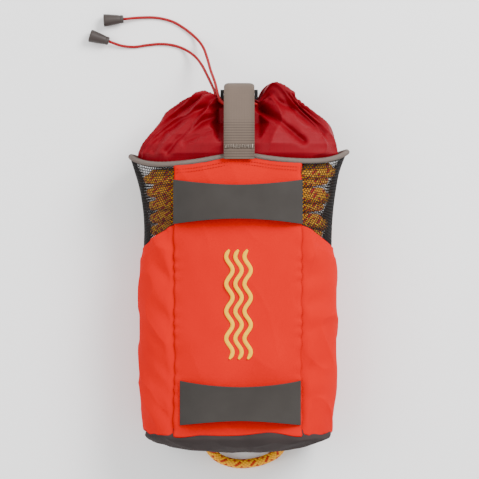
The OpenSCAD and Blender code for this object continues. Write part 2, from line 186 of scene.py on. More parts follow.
def grid_mesh(name, rows, closed=False):
    """Sheet through rows of points, with UVs in metres; closed joins each row's ends."""
    m, n = len(rows), len(rows[0])
    across = sum((rows[m // 2][i + 1] - rows[m // 2][i]).length for i in range(n - 1)) / (n - 1)
    along = sum((rows[j + 1][n // 3] - rows[j][n // 3]).length for j in range(m - 1)) / (m - 1)
    faces, uvs = [], []
    for j in range(m - 1):
        for i in range(n if closed else n - 1):
            k = (i + 1) % n
            faces.append((j * n + i, j * n + k, (j + 1) * n + k, (j + 1) * n + i))
            uvs += [(i * across, j * along), ((i + 1) * across, j * along),
                    ((i + 1) * across, (j + 1) * along), (i * across, (j + 1) * along)]
    return add_mesh(name, [p for row in rows for p in row], faces, uvs)


def ring_mesh(name, rings, closed=False):
    """Tube through rings of points: U runs 0 to 1 round it and V is metres along it."""
    m, n = len(rings), len(rings[0])
    centres = [sum(ring, Vector()) / n for ring in rings]
    reach = [0.0]
    for j in range(m if closed else m - 1):
        reach.append(reach[-1] + (centres[(j + 1) % m] - centres[j]).length)
    faces, uvs = [], []
    for j in range(m if closed else m - 1):
        for i in range(n):
            a, b, k = j * n, (j + 1) % m * n, (i + 1) % n
            faces.append((a + i, a + k, b + k, b + i))
            uvs += [(i / n, reach[j]), ((i + 1) / n, reach[j]),
                    ((i + 1) / n, reach[j + 1]), (i / n, reach[j + 1])]
    if not closed:
        for start, order in ((0, range(n - 1, -1, -1)), ((m - 1) * n, range(n))):
            faces.append(tuple(start + i for i in order))
            uvs += [(0.5, start / n / m)] * n
    return add_mesh(name, [p for ring in rings for p in ring], faces, uvs)


def curve_through(route, step):
    """Catmull-Rom curve through a route, as evenly spaced points about a step apart."""
    route = [Vector(p) for p in route]
    fine = []
    for i in range(len(route) - 1):
        a, b = route[max(i - 1, 0)], route[i]
        c, d = route[i + 1], route[min(i + 2, len(route) - 1)]
        for k in range(12):
            t = k / 12
            fine.append(0.5 * (2 * b + (c - a) * t + (2 * a - 5 * b + 4 * c - d) * t * t
                               + (3 * b - a - 3 * c + d) * t ** 3))
    fine.append(route[-1])
    reach = [0.0]
    for p, q in zip(fine, fine[1:]):
        reach.append(reach[-1] + (q - p).length)
    count = max(2, round(reach[-1] / step))
    points, i = [], 0
    for k in range(count + 1):
        goal = reach[-1] * k / count
        while i < len(fine) - 2 and reach[i + 1] < goal:
            i += 1
        span = reach[i + 1] - reach[i]
        points.append(fine[i].lerp(fine[i + 1], (goal - reach[i]) / span if span else 0))
    return points


def tube_rings(path, radius, sides, closed=False):
    """Rings square to a path, untwisted; radius(angle, j) may shape them."""
    m = len(path)
    rings = []
    side = None
    for j in range(m):
        ahead = path[(j + 1) % m] if closed else path[min(j + 1, m - 1)]
        behind = path[j - 1] if closed or j else path[0]
        t = (ahead - behind).normalized()
        if side is None:
            side = t.orthogonal()
        side = (side - t * side.dot(t)).normalized()
        up = t.cross(side)
        angles = [2 * math.pi * i / sides for i in range(sides)]
        rings.append([path[j] + radius(a, j) * (side * math.cos(a) + up * math.sin(a)) for a in angles])
    return rings


def add_modifier(piece, kind, **values):
    """Adds one modifier and sets its values."""
    modifier = piece.modifiers.new(kind.lower(), kind)
    for key, value in values.items():
        setattr(modifier, key, value)


def dress(piece, slot, material, *nodes):
    """Gives a piece its material and hides the CAD nodes it stands for; slot is not used."""
    piece.data.materials.clear()
    piece.data.materials.append(material)
    if nodes:
        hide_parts(*nodes)


def place(piece, body, slot, material, *nodes):
    """Dresses a piece and lets it ride on one body."""
    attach(piece, body)
    dress(piece, slot, material, *nodes)
    return piece


# ---------- Material helpers ----------

def linear(red, green, blue):
    """Scene-linear colour from a display colour of 0 to 255."""
    return tuple((c / 255 / 12.92 if c < 10 else ((c / 255 + 0.055) / 1.055) ** 2.4)
                 for c in (red, green, blue)) + (1.0,)


class Shader:
    """One node material, with short ways to add the nodes it needs."""

    def __init__(self, name, roughness, **sockets):
        self.material = bpy.data.materials.new(name)
        self.material.use_nodes = True
        self.tree = self.material.node_tree
        self.bsdf = self.tree.nodes["Principled BSDF"]
        self.bsdf.inputs["Roughness"].default_value = roughness
        for socket, value in sockets.items():
            self.bsdf.inputs[socket.replace("_", " ")].default_value = value
        coords = self.tree.nodes.new("ShaderNodeTexCoord")
        split = self.tree.nodes.new("ShaderNodeSeparateXYZ")
        self.link(coords.outputs["UV"], split.inputs[0])
        self.place = coords.outputs["Object"]
        self.u, self.v = split.outputs["X"], split.outputs["Y"]

    def link(self, a, b):
        self.tree.links.new(a, b)

    def feed(self, value, socket):
        if isinstance(value, (int, float, tuple)):
            socket.default_value = value
        else:
            self.link(value, socket)

    def math(self, operation, a, b=0.0):
        node = self.tree.nodes.new("ShaderNodeMath")
        node.operation = operation
        self.feed(a, node.inputs[0])
        self.feed(b, node.inputs[1])
        return node.outputs[0]

    def mix(self, factor, a, b):
        node = self.tree.nodes.new("ShaderNodeMix")
        node.data_type = "RGBA"
        self.feed(factor, node.inputs["Factor"])
        self.feed(a, node.inputs["A"])
        self.feed(b, node.inputs["B"])
        return node.outputs["Result"]

    def noise(self, scale, detail=4.0):
        node = self.tree.nodes.new("ShaderNodeTexNoise")
        node.inputs["Scale"].default_value = scale
        node.inputs["Detail"].default_value = detail
        self.link(self.place, node.inputs["Vector"])
        return node.outputs["Fac"]

    def wave(self, along, pitch):
        """Sine of a distance, from -1 to 1, repeating every pitch."""
        return self.math("SINE", self.math("MULTIPLY", along, 2 * math.pi / pitch))

    def bump(self, height, distance, strength=1.0):
        node = self.tree.nodes.new("ShaderNodeBump")
        node.inputs["Distance"].default_value = distance
        node.inputs["Strength"].default_value = strength
        self.feed(height, node.inputs["Height"])
        self.link(node.outputs["Normal"], self.bsdf.inputs["Normal"])

    def color(self, value):
        self.feed(value, self.bsdf.inputs["Base Color"])

    def rough(self, value):
        self.feed(value, self.bsdf.inputs["Roughness"])


def woven_cloth(name, shade, dark, pitch, depth, roughness=0.8, wear=25.0, **sockets):
    """Plain weave with slow colour changes and slightly darker gaps between its threads, that darkening
    being painted shade.
    """
    s = Shader(name, roughness, Specular_IOR_Level=0.06, **sockets)
    weave = s.math("MULTIPLY", s.wave(s.u, pitch), s.wave(s.v, pitch))
    patches = s.noise(wear)
    # The weave term in the colour is painted shade: a faint darker checker at the thread pitch.
    s.color(s.mix(s.math("ADD", s.math("MULTIPLY", patches, 0.7), s.math("MULTIPLY", weave, 0.12)),
                  shade, dark))
    grain = s.math("ADD", s.math("MULTIPLY", weave, 0.6), s.noise(900.0, 2.0))
    s.rough(s.math("ADD", s.math("MULTIPLY", patches, 0.15), roughness - 0.08))
    s.bump(grain, depth)
    return s.material


def ripstop(name, shade, dark):
    """Thin nylon with a soft shine and a faint raised grid of heavier threads."""
    s = Shader(name, 0.55, Specular_IOR_Level=0.12)
    grid = s.math("MAXIMUM", s.math("POWER", s.math("ABSOLUTE", s.wave(s.u, 9 * MM)), 24.0),
                  s.math("POWER", s.math("ABSOLUTE", s.wave(s.v, 9 * MM)), 24.0))
    weave = s.math("MULTIPLY", s.wave(s.u, 0.7 * MM), s.wave(s.v, 0.7 * MM))
    patches = s.noise(30.0)
    s.color(s.mix(s.math("ADD", s.math("MULTIPLY", patches, 0.4), s.math("MULTIPLY", grid, 0.12)),
                  shade, dark))
    s.rough(s.math("ADD", s.math("MULTIPLY", patches, 0.2), 0.42))
    s.bump(s.math("ADD", s.math("MULTIPLY", grid, 0.4), s.math("MULTIPLY", weave, 0.35)), 0.10 * MM)
    return s.material


def braid(name, base, tracer, base_dark, strands, pitch, every, depth, roughness=0.65):
    """Round braid: crossing strands, of which every so many is a tracer, with painted shade darkening the
    grooves between strands.
    """
    s = Shader(name, roughness, Specular_IOR_Level=0.3)
    round_it = s.math("MULTIPLY", s.u, float(strands))
    along = s.math("DIVIDE", s.v, pitch)
    left, right = s.math("ADD", round_it, along), s.math("SUBTRACT", round_it, along)
    number_l, number_r = s.math("FLOOR", left), s.math("FLOOR", right)
    over = s.math("FLOORED_MODULO", s.math("ADD", number_l, number_r), 2.0)
    swell_l = s.math("ABSOLUTE", s.math("SINE", s.math("MULTIPLY", left, math.pi)))
    swell_r = s.math("ABSOLUTE", s.math("SINE", s.math("MULTIPLY", right, math.pi)))
    swell = s.math("SQRT", s.math("MULTIPLY", swell_l, swell_r))
    is_l = s.math("LESS_THAN", s.math("FLOORED_MODULO", number_l, float(every)), 0.5)
    is_r = s.math("LESS_THAN", s.math("FLOORED_MODULO", number_r, float(every)), 0.5)
    under = s.math("SUBTRACT", 1.0, over)
    red = s.math("ADD", s.math("MULTIPLY", is_l, over), s.math("MULTIPLY", is_r, under))
    shade = s.mix(s.noise(140.0), base, base_dark)
    coloured = s.mix(red, shade, tracer)
    # Painted shade: the grooves between the strands, where swell is low, are mixed towards half the dark
    # tone.
    s.color(s.mix(s.math("MULTIPLY", s.math("SUBTRACT", 1.0, swell), 0.55), coloured,
                  tuple(c * 0.5 for c in base_dark[:3]) + (1.0,)))
    s.bump(swell, depth)
    return s.material


def webbing(name, shade, dark, rib):
    """Heavy nylon webbing: cross ribs over its first 36 mm, each broken up into threads, with painted shade
    in the valleys between the ribs.
    """
    s = Shader(name, 0.75, Specular_IOR_Level=0.3)
    fade = s.math("MULTIPLY", s.math("SUBTRACT", 36 * MM, s.v), 150.0)
    fade = s.math("MAXIMUM", s.math("MINIMUM", fade, 1.0), 0.15)
    ribs = s.math("MULTIPLY", s.math("ABSOLUTE", s.wave(s.v, 2 * rib)), fade)
    threads = s.math("ABSOLUTE", s.wave(s.u, 0.016))
    # Painted shade in the valleys between the ribs, mixed with a random tone from noise.
    painted_valley_shade = s.math("POWER", s.math("SUBTRACT", fade, ribs), 2.0)
    valley_shade_and_tone = s.math("ADD", s.math("MULTIPLY", painted_valley_shade, 0.8), s.math("MULTIPLY", s.noise(60.0), 0.3))
    s.color(s.mix(valley_shade_and_tone, shade, dark))
    s.bump(s.math("ADD", ribs, s.math("MULTIPLY", threads, 0.4)), 0.18 * MM)
    return s.material


def moulded(name, shade, dark, roughness, grain=700.0):
    """Moulded plastic or rubber with a fine grain and slightly polished patches."""
    s = Shader(name, roughness, Specular_IOR_Level=0.3)
    patches = s.noise(45.0)
    s.color(s.mix(patches, shade, dark))
    s.rough(s.math("ADD", s.math("MULTIPLY", patches, 0.2), roughness - 0.1))
    s.bump(s.noise(grain, 3.0), 0.06 * MM)
    return s.material


def satin_stitch(name, shade, dark):
    """Close parallel threads laid across a raised line, with painted shade darkening the gaps between them.
    """
    s = Shader(name, 0.5, Specular_IOR_Level=0.15)
    slant = s.math("ADD", s.v, s.math("MULTIPLY", s.u, 2 * MM))
    threads = s.math("ABSOLUTE", s.wave(slant, 0.9 * MM))
    # Painted shade: the gaps between the threads are darkened.
    s.color(s.mix(s.math("SUBTRACT", 1.0, threads), shade, dark))
    s.bump(threads, 0.15 * MM)
    return s.material


def brushed_wire(name):
    """Bare steel wire."""
    s = Shader(name, 0.3, Metallic=1.0)
    s.color(s.mix(s.noise(300.0), (0.55, 0.55, 0.57, 1.0), (0.4, 0.4, 0.42, 1.0)))
    s.bump(s.noise(2500.0), 0.01 * MM)
    return s.material


def make_materials():
    """One material for each kind of cloth, cord, thread and plastic."""
    yellow, red = linear(255, 192, 0), linear(190, 0, 2)
    return {
        "orange": woven_cloth("orange_pack_cloth", linear(205, 8, 2), linear(186, 5, 1), 0.9 * MM,
                              0.10 * MM, roughness=0.9),
        "base": woven_cloth("grey_pack_cloth", linear(66, 58, 57), linear(40, 34, 34), 1.1 * MM,
                            0.16 * MM, wear=40.0),
        "piping": woven_cloth("piping_cloth", linear(112, 101, 95), linear(90, 80, 74), 0.8 * MM,
                              0.08 * MM),
        "mesh": moulded("mesh_yarn", linear(26, 21, 21), linear(12, 9, 9), 0.6),
        "band": moulded("rubberised_band", linear(50, 46, 43), linear(44, 40, 37), 0.8, 1100.0),
        "collar": ripstop("ripstop_nylon", linear(124, 0, 18), linear(92, 0, 10)),
        "rope": braid("throw_rope_braid", yellow, red, linear(250, 156, 0), 8, ROPE_PITCH, 4, 0.5 * MM),
        "cord": braid("drawcord_braid", linear(178, 0, 14), linear(130, 0, 8), linear(140, 0, 8), 6,
                      CORD_PITCH, 3, 0.12 * MM),
        "webbing": webbing("strap_webbing", linear(96, 82, 72), linear(56, 46, 39), RIB_PITCH),
        "plastic": moulded("black_acetal", linear(24, 23, 24), linear(14, 14, 15), 0.42),
        "cord_end": moulded("cord_end_plastic", linear(64, 56, 53), linear(44, 37, 35), 0.5),
        "thread": moulded("sewing_thread", linear(150, 14, 6), linear(124, 8, 4), 0.6),
        "tack_thread": moulded("tack_thread", linear(186, 174, 162), linear(140, 126, 114), 0.6),
        "embroidery": satin_stitch("embroidery_thread", linear(255, 200, 0), linear(244, 160, 0)),
        "foam": moulded("closed_cell_foam", linear(200, 200, 200), linear(170, 170, 170), 0.8),
        "spring": brushed_wire("spring_wire"),
    }


# ---------- The bag's wall ----------

def half_w(y):
    """Half width of the wall at y."""
    if y < WAIST_Y:
        return lerp(BODY_HALF_W - 1.5 * MM, BODY_HALF_W, (y - BASE_SEAM_Y) / (WAIST_Y - BASE_SEAM_Y))
    return BODY_HALF_W + (RIM_HALF_W - BODY_HALF_W) * ((y - WAIST_Y) / FLARE_LENGTH) ** 2.5


def half_d(y):
    """Half depth of the wall at y."""
    return BODY_HALF_D - 1.5 * MM * max(0.0, (y - 60 * MM) / (36 * MM))


def mid_z(y):
    """Height of the middle of the cross-section at y."""
    return half_d(y) - FLOOR_PRESS


def oval(angle, a, b):
    """Point on a rounded oval with half sizes a and b."""
    c, s = math.cos(angle), math.sin(angle)
    power = 2 / ROUNDNESS
    return a * math.copysign(abs(c) ** power, c), b * math.copysign(abs(s) ** power, s)


def wall(angle, y, lift=0.0, floor=0.4 * MM):
    """Point on the wall, moved outwards by lift and kept above the floor."""
    x, z = oval(angle, half_w(y) + lift, half_d(y) + lift)
    return Vector((x, y, max(z + mid_z(y), floor)))


def front_z(x, y):
    """Height of the front of the wall."""
    share = min(1.0, abs(x) / half_w(y))
    return mid_z(y) + half_d(y) * (1 - share ** ROUNDNESS) ** (1 / ROUNDNESS)


def seam_angle(y):
    """Angle from +X of the front panel's right seam."""
    return math.acos((FRONT_HALF / half_w(y)) ** (ROUNDNESS / 2))


def side_angle(side, y, s):
    """Angle at share s of one side's width."""
    q = seam_angle(y)
    if side % 2 == 0:
        return side * math.pi / 2 + lerp(-q, q, s)
    return side * math.pi / 2 + lerp(q - math.pi / 2, math.pi / 2 - q, s)


def rim_height(angle):
    """Y of the rim: pulled up by the strap, and turning back at both ends."""
    x = oval(angle, RIM_HALF_W, 1)[0]
    pull = 5 * MM * bell(x, 28 * MM) if math.sin(angle) > 0 else 0.0
    turn = -5 * MM * math.sin(angle) * math.cos(angle) ** 2
    return 87.5 * MM + pull + turn + 7 * MM * abs(math.cos(angle)) ** 6 + 0.022 * x


def window_height(s):
    """Y of the mesh window's lower edge, lowest in the middle of the side."""
    return WINDOW_CORNER_Y - WINDOW_DIP * math.sin(math.pi * s)


def base_seam(angle):
    """Y of the wavy seam where the base is sewn on."""
    return BASE_SEAM_Y + 1.4 * MM * math.sin(5 * angle + 1) + 0.9 * MM * math.sin(11 * angle)


def creases(p, size, amount):
    """Height of sharp-crested wrinkles at a place, for cloth pulled on the slant."""
    slanted = Vector((p.x + 0.5 * p.y, 0.35 * p.y - 0.2 * p.x, p.z)) / size
    return amount * (1 - abs(noise.noise(slanted)) * 2) ** 3


def wall_rows(side, low, high, across, along, lift, over=0.0):
    """Rows of points over one side; low, high and lift are functions of the place.
    over is the share of the side's width that runs on under its neighbours."""
    rows = []
    for j in range(along + 1):
        row = []
        for i in range(across + 1):
            s = lerp(-over, 1 + over, i / across)
            y = lerp(low(s), high(s), j / along)
            angle = side_angle(side, y, s)
            row.append(wall(angle, y, lift(s, j / along, angle, y)))
        rows.append(row)
    return rows


def make_front_panel(m):
    """Front cloth: slack in the middle and puckered along its seams."""
    def lift(s, t, angle, y):
        p = wall(angle, y)
        edge = min(s, 1 - s) * 2 * FRONT_HALF
        pucker = 0.5 * MM * math.sin(y / MM * 0.55 + 2 * math.sin(y / MM * 0.13)) * bell(edge, 7 * MM)
        slack = 1.3 * MM * noise.noise(Vector((p.x, p.y * 0.5, 0)) / (26 * MM))
        return slack + pucker + creases(p, 30 * MM, 0.5 * MM) - 1.5 * MM * bell(edge, 1.8 * MM)
    rows = wall_rows(FRONT, lambda s: base_seam(lerp(0.9, 2.2, s)),
                     lambda s: rim_height(side_angle(FRONT, RIM_Y, s)), 120, 220, lift)
    piece = grid_mesh("front_panel_cloth", rows)
    add_modifier(piece, "SOLIDIFY", thickness=0.7 * MM, offset=0.0)
    place(piece, "bag", "panel_fabric", m["orange"], "front_panel")


def make_back_panel(m):
    """Back cloth, pressed flat on the floor."""
    def lift(s, t, angle, y):
        edge = min(s, 1 - s) * 2 * FRONT_HALF
        return 0.5 * MM * noise.noise(wall(angle, y) / (24 * MM)) - 1.4 * MM * bell(edge, 1.6 * MM)
    rows = wall_rows(BACK, lambda s: BASE_SEAM_Y,
                     lambda s: rim_height(side_angle(BACK, RIM_Y, s)), 80, 150, lift)
    piece = grid_mesh("back_panel_cloth", rows)
    add_modifier(piece, "SOLIDIFY", thickness=0.7 * MM, offset=0.0)
    place(piece, "bag", "panel_fabric", m["orange"], "back_panel")


def make_side_panel(m, side, name):
    """Side cloth: puffed out, and pulled on the slant near its seams."""
    def lift(s, t, angle, y):
        p = wall(angle, y)
        edge = min(s, 1 - s) * SIDE_GIRTH
        middle = max(0.0, math.sin(math.pi * s))
        puff = 1.8 * MM * middle ** 0.6 * max(0.0, math.sin(math.pi * min(1, t * 1.05))) ** 0.4
        puff += 2.4 * MM * smooth((1 - t) * 15) * smooth(t * 4) * middle
        hem = 0.8 * MM * bell((1 - t) * SIDE_LENGTH, 5 * MM) * middle
        slanted = Vector((p.z * 0.6 + p.x * 0.8 - 0.8 * p.y * (1 if p.x > 0 else -1), p.y * 0.5, 0))
        pull = 2.6 * MM * bell(edge, 30 * MM) * noise.noise(slanted / (15 * MM))
        folds = creases(Vector((p.x, p.y * 1.3, p.z)), 34 * MM, 1.6 * MM)
        tuck = 2.0 * MM * bell(max(edge, 0.0), 2.4 * MM) + (0.8 * MM if edge < 0 else 0.0)
        return puff + hem + (pull + folds) * smooth(edge / (6 * MM)) - tuck
    rows = wall_rows(side, lambda s: base_seam(lerp(0.9, -0.9, s)), window_height, 110, 190, lift,
                     over=0.02)
    piece = grid_mesh(name + "_cloth", rows)
    add_modifier(piece, "SOLIDIFY", thickness=0.7 * MM, offset=0.0)
    place(piece, "bag", "panel_fabric", m["orange"], name)


def make_mesh_window(m, side, name):
    """Knitted mesh: six-sided holes, left by a wire frame along their edges."""
    columns, lines = 50, 30
    verts, faces, found = [], [], {}

    def corner(i, j):
        s, t = max(0.0, min(1.0, i / columns)), max(0.0, min(1.0, j / lines))
        key = (round(s, 5), round(t, 5))
        if key not in found:
            y = lerp(window_height(s), rim_height(side_angle(side, RIM_Y, s)), t)
            angle = side_angle(side, y, s)
            edge = min(s, 1 - s) * SIDE_GIRTH
            sag = 1.5 * MM * noise.noise(wall(angle, y) / (30 * MM)) - 1.5 * MM * bell(edge, 2 * MM)
            found[key] = len(verts)
            verts.append(wall(angle, y, sag - 0.5 * MM))
        return found[key]

    hexagon = [(0, -2 / 3), (0.5, -1 / 3), (0.5, 1 / 3), (0, 2 / 3), (-0.5, 1 / 3), (-0.5, -1 / 3)]
    for j in range(lines + 1):
        for i in range(columns + 1):
            centre = i + 0.5 * (j % 2)
            face = list(dict.fromkeys(corner(centre + a, j + b) for a, b in hexagon))
            if len(face) > 2:
                faces.append(face)
    piece = add_mesh(name + "_net", verts, faces, [])
    add_modifier(piece, "WIREFRAME", thickness=0.8 * MM, use_even_offset=False, use_boundary=True)
    place(piece, "bag", "mesh", m["mesh"], name)


def make_base(m):
    """Grey base: tucked under the panels, then closing over the end of the bag."""
    rows = []
    steps, tucked = 46, 3
    for j in range(steps + 1):
        fall = math.radians(88) * max(0, j - tucked) / (steps - tucked)
        row = []
        for k in range(220):
            angle = 2 * math.pi * k / 220
            start = base_seam(angle)
            p = wall(angle, start, -1.6 * MM if j < tucked else -0.5 * MM * bell(j - tucked, 2))
            shrink = math.cos(fall)
            centre = Vector((0, 0, mid_z(start)))
            q = centre + (Vector((p.x, 0, p.z)) - centre) * shrink
            q.y = lerp(start + 1.8 * MM * max(0, tucked - j), BASE_TIP_Y + 1.5 * MM, math.sin(fall))
            rise = creases(q, 26 * MM, 1.4 * MM) + 1.1 * MM * noise.noise(q / (13 * MM))
            out = Vector((q.x, 0, q.z - centre.z)).normalized()
            calm = min(1.0, j / 6)
            q += (out * shrink + Vector((0, -0.5, 0))) * rise * calm
            q += out * 1.2 * MM * bell(j - 9, 5)
            q.z = max(q.z, 0.4 * MM)
            row.append(q)
        rows.append(row)
    piece = grid_mesh("base_panel_cloth", rows, closed=True)
    add_modifier(piece, "SOLIDIFY", thickness=0.8 * MM, offset=0.0)
    place(piece, "bag", "base_fabric", m["base"], "base_panel")


def make_piping(m):
    """Corded piping along the rim."""
    path = []
    for k in range(360):
        angle = 2 * math.pi * k / 360
        path.append(wall(angle, rim_height(angle) + 1.6 * MM, -PIPING_R + 1.6 * MM, PIPING_R))
    rings = tube_rings(path, lambda a, j: PIPING_R * (1 + 0.03 * math.sin(j * 1.9)), 14, closed=True)
    place(ring_mesh("rim_piping_cloth", rings, closed=True), "bag", "piping", m["piping"], "rim_piping")


# ---------- Stitches ----------

def stitch_row(points, lift, long=1.3 * MM, gap=0.9 * MM, r=0.18 * MM):
    """Short threads laid along a line of points, each dipping at both ends."""
    rings_of = []
    reach, start = 0.0, 0
    for i in range(1, len(points)):
        reach += (points[i] - points[i - 1]).length
        if reach >= long + gap:
            a, b = points[start], points[i]
            b = a.lerp(b, long / (long + gap))
            path = [a - lift * r, a.lerp(b, 0.3) + lift * r * 0.8, a.lerp(b, 0.7) + lift * r * 0.8,
                    b - lift * r]
            rings_of.append(tube_rings(path, lambda angle, j: r, 5))
            reach, start = 0.0, i
    return rings_of


def join_tubes(name, tubes):
    """One mesh of many short tubes, each a list of rings."""
    verts, faces, uvs = [], [], []
    for rings in tubes:
        base, n = len(verts), len(rings[0])
        for j in range(len(rings) - 1):
            for i in range(n):
                a, b, k = base + j * n, base + (j + 1) * n, (i + 1) % n
                faces.append((a + i, a + k, b + k, b + i))
                uvs += [(0, 0), (1, 0), (1, 1), (0, 1)]
        for start, order in ((base, range(n - 1, -1, -1)), (base + (len(rings) - 1) * n, range(n))):
            faces.append(tuple(start + i for i in order))
            uvs += [(0, 0)] * n
        verts += [p for ring in rings for p in ring]
    return add_mesh(name, verts, faces, uvs)


def make_stitching(m):
    """Two fine rows of stitches below the piping."""
    up = Vector((0, 0, 1))
    lines = []
    for drop in (3.6 * MM, 6.2 * MM):
        row = []
        for k in range(400):
            x = lerp(-FRONT_HALF + 3 * MM, FRONT_HALF - 3 * MM, k / 399)
            angle = math.acos(math.copysign(abs(x / RIM_HALF_W) ** (ROUNDNESS / 2), x))
            y = rim_height(angle) - drop
            row.append(Vector((x, y, front_z(x, y) + 0.9 * MM)))
        lines.append(row)
    tubes = [t for line in lines for t in stitch_row(line, up)]
    place(join_tubes("panel_stitching", tubes), "bag", "panel_fabric", m["thread"])


# ---------- Bands and embroidery ----------

def make_band(m, node, mid_h):
    """Grab band: narrow in the middle, sewn at its ends and standing off between them."""
    low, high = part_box(node)
    mid_x, mid_y = (low[0] + high[0]) / 2, (low[1] + high[1]) / 2
    half_len, end_h = (high[0] - low[0]) / 2, high[1] - low[1]
    rings = []
    steps = 150
    for j in range(steps + 1):
        s = lerp(-1, 1, j / steps)
        x = mid_x + s * half_len
        half_h = lerp(mid_h, end_h, abs(s) ** 1.8) / 2
        ring = []
        for i in range(44):
            a = 2 * math.pi * i / 44
            c, d = math.cos(a), math.sin(a)
            across = math.copysign(abs(c) ** 0.25, c)
            over = math.copysign(abs(d) ** 0.5, d)
            y = mid_y + half_h * across
            lift = BAND_GAP * (1 - s ** 4) * 0.92 + 0.3 * MM
            curl = 0.8 * MM * across ** 4 * (1 - s * s)
            ripple = 0.35 * MM * noise.noise(Vector((x, y, 0)) / (12 * MM))
            ring.append(Vector((x, y, front_z(x, y) + 1.3 * MM + lift + curl + ripple + over * BAND_T / 2)))
        rings.append(ring)
    piece = ring_mesh(node + "_rubber", rings)
    place(piece, "bag", "band", m["band"], node)


def make_waves(m):
    """Three wavy lines of satin stitch."""
    low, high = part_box("embroidered_waves")
    mid_x = (low[0] + high[0]) / 2
    tubes = []
    for offset in (-7.5 * MM, 0, 7.5 * MM):
        path = []
        for k in range(260):
            y = lerp(low[1], high[1], k / 259)
            x = mid_x + offset + 2.6 * MM * math.sin(8 * math.pi * k / 259)
            path.append(Vector((x, y, front_z(x, y) + 0.9 * MM)))
        rings = []
        for k, p in enumerate(path):
            ahead = (path[min(k + 1, 259)] - path[max(k - 1, 0)]).normalized()
            side = ahead.cross(Vector((0, 0, 1))).normalized()
            width = 1.7 * MM * (0.55 + 0.45 * min(1, k / 8, (259 - k) / 8)) * (1 + 0.05 * (k % 2))
            rings.append([p + side * width * math.cos(a) + Vector((0, 0, 0.9 * MM * math.sin(a)))
                          for a in (2 * math.pi * i / 12 for i in range(12))])
        tubes.append(ring_mesh(f"embroidered_wave_{len(tubes) + 1}", rings))
    for tube in tubes[1:]:
        place(tube, "bag", "embroidery", m["embroidery"])
    place(tubes[0], "bag", "embroidery", m["embroidery"], "embroidered_waves")


# ---------- Ropes and cords ----------

def throw_rope_path():
    """Flat oval turns, three to a layer, spiralling in on one layer and out on the next."""
    layers, turns, per_turn = 17, 3, 36
    inset0, turn_pitch, layer_pitch = 6.2 * MM, 8.4 * MM, 10.9 * MM
    first_y = -97 * MM
    path = []
    for layer in range(layers):
        for k in range(turns * per_turn):
            way = k / (turns * per_turn)
            share = way if layer % 2 == 0 else 1 - way
            angle = 2 * math.pi * k / per_turn
            climb = smooth((way - 0.9) / 0.1)
            y = first_y + (layer + climb) * layer_pitch
            y += 4 * MM * math.sin(angle + y / (38 * MM))
            y += layer_pitch / 2 * math.sin(math.pi * share) ** 2
            path.append(wall(angle, min(y, 86 * MM), -inset0 - share * turns * turn_pitch * 0.7, 7 * MM))
    return path


def make_throw_rope(m):
    """The stowed rope, seen through the mesh."""
    rings = tube_rings(throw_rope_path(), lambda a, j: ROPE_R, 12)
    place(ring_mesh("throw_rope_coils", rings), "bag", "rope", m["rope"], "throw_rope")


def rope_piece(name, path, radius, strands, pitch, swell, sides, closed=False):
    """Rope whose crossing strands stand out from its surface."""
    reach = [0.0]
    for p, q in zip(path, path[1:]):
        reach.append(reach[-1] + (q - p).length)

    def shaped(a, j):
        turn, along = a / (2 * math.pi) * strands, reach[j] / pitch
        bulge = abs(math.sin((turn + along) * math.pi) * math.sin((turn - along) * math.pi)) ** 0.5
        return radius * (1 - swell + swell * bulge)
    return ring_mesh(name, tube_rings(path, shaped, sides, closed), closed)


def make_base_loop(m):
    """Loop of the rope outside the base."""
    path = curve_through(BASE_LOOP_ROUTE, 0.5 * MM)
    piece = rope_piece("base_loop_rope", path, ROPE_R, 8, ROPE_PITCH, 0.12, 48)
    place(piece, "bag", "rope", m["rope"], "base_rope_loop")


def make_cord_end(m, node, at, heading):
    """Bell-shaped cord end, lathed round its own axis, with a flared lip and a hollow face."""
    profile = [(0, 2.0), (0, 3.0), (.4, 3.5), (2.2, 3.7), (2.6, 3.45), (3.2, 3.45), (3.6, 3.75),
               (8, 4.4), (12, 4.95), (15, 5.4), (16.4, 5.45), (17, 5.1), (17, 4.4), (16.2, 3.9),
               (15.2, 2.0), (15, 0.3)]
    axis = Vector((math.cos(heading), math.sin(heading), 0))
    side = Vector((-axis.y, axis.x, 0))
    rings = []
    for along, r in profile:
        centre = Vector(at) + axis * along * MM
        rings.append([centre + r * MM * (side * math.cos(a) + Vector((0, 0, math.sin(a))))
                      for a in (2 * math.pi * i / 40 for i in range(40))])
    piece = ring_mesh(node + "_bell", rings)
    add_modifier(piece, "SUBSURF", levels=1, render_levels=1)
    return place(piece, "bag", "cord_end", m["cord_end"], node)


def make_drawcord(m, node, end_node, route, heading):
    """One free tail of the drawcord with the end it carries."""
    bell_piece = make_cord_end(m, end_node, route[-1], heading)
    path = curve_through(route, 0.8 * MM)
    piece = rope_piece(node + "_braid", path, CORD_R, 6, CORD_PITCH, 0.08, 16)
    place(piece, "bag", "drawcord", m["cord"], node)


# ---------- Collar ----------

# Rings of the collar as (y, half width, lowest z, highest z), in metres
COLLAR_RINGS = [
    (.084, .083, .006, .0775), (.090, .0838, .008, .080), (.096, .0835, .020, .0842),
    (.104, .081, .023, .0852), (.112, .0765, .025, .082), (.119, .0715, .027, .076),
    (.126, .065, .030, .069), (.133, .057, .032, .064), (.139, .047, .033, .0625),
    (.1435, .036, .0335, .062), (.145, .026, .034, .062), (.143, .0192, .0345, .0615),
    (.139, .0134, .0346, .0614)]
